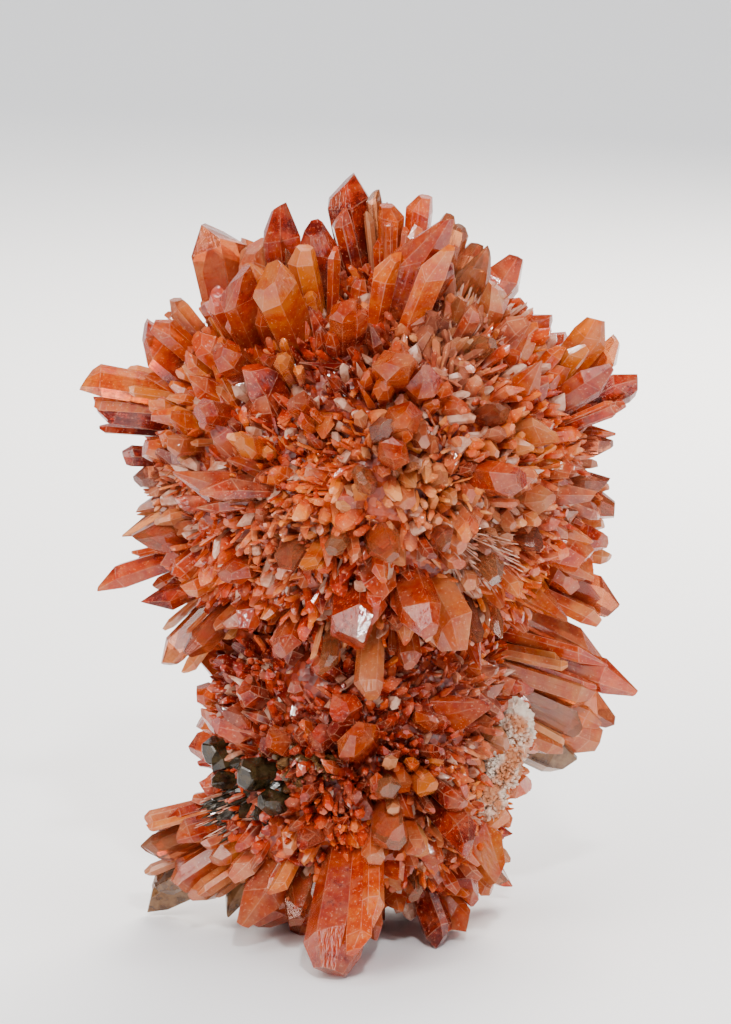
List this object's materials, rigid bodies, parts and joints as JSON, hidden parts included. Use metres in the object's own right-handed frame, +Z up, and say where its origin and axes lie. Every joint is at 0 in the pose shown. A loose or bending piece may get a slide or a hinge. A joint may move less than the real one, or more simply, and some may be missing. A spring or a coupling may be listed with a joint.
{
  "type": "creedite mineral specimen",
  "caption": "Orange creedite: a radiating ball of blocky, glassy crystals grown on a narrower burst, standing upright on its lowest crystal tips.",
  "frame": {"origin": "middle of the base, on the surface that the specimen stands on", "axes": "+Z up from the base to the top of the ball, +X to the right and +Y away from the viewer in the pictured view"},
  "size_m": [0.0551, 0.0474, 0.0747],
  "materials": {
    "creedite": "glassy, see-through orange crystal, paler at the tips and roots"
  },
  "bodies": {
    "root": {"creedite_cluster": "creedite"}
  },
  "joints": []
}
